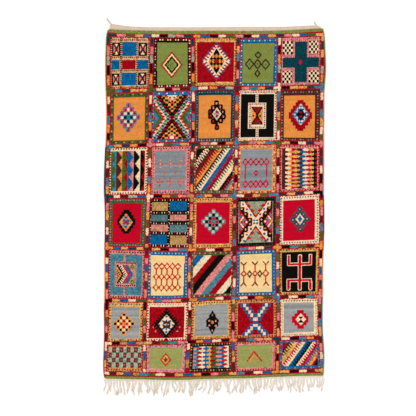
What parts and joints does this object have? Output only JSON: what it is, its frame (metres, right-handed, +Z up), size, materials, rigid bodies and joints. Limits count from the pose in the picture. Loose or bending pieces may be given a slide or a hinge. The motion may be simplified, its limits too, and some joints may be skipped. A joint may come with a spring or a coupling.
{
  "type": "patchwork rug",
  "caption": "Flat hand-woven wool rug with a lattice of patterned square compartments, bound sides, a woven heading at one end and a fringe at the other.",
  "frame": {"origin": "on the underside of the rug, on the floor plane, at the middle of the cloth", "axes": "+Z up out of the face of the rug; +Y along its length, from the fringed end to the end with the woven heading; +X across it, to the right as seen from above with the heading away"},
  "size_m": [1.6211, 2.7663, 0.009],
  "materials": {
    "rug_wool": "hand-knotted and woven wool in many dyed colours, matte",
    "selvedge_wool": "dyed wool yarn overcast round the edge cords, matte",
    "warp_yarn": "undyed twisted wool warp yarn, matte"
  },
  "bodies": {
    "root": {"woven_rug": "rug_wool", "left_selvedge": "selvedge_wool", "right_selvedge": "selvedge_wool", "top_heading": "warp_yarn", "bottom_fringe": "warp_yarn", "left_corner_tuft": "warp_yarn", "right_corner_tuft": "warp_yarn"}
  },
  "joints": []
}
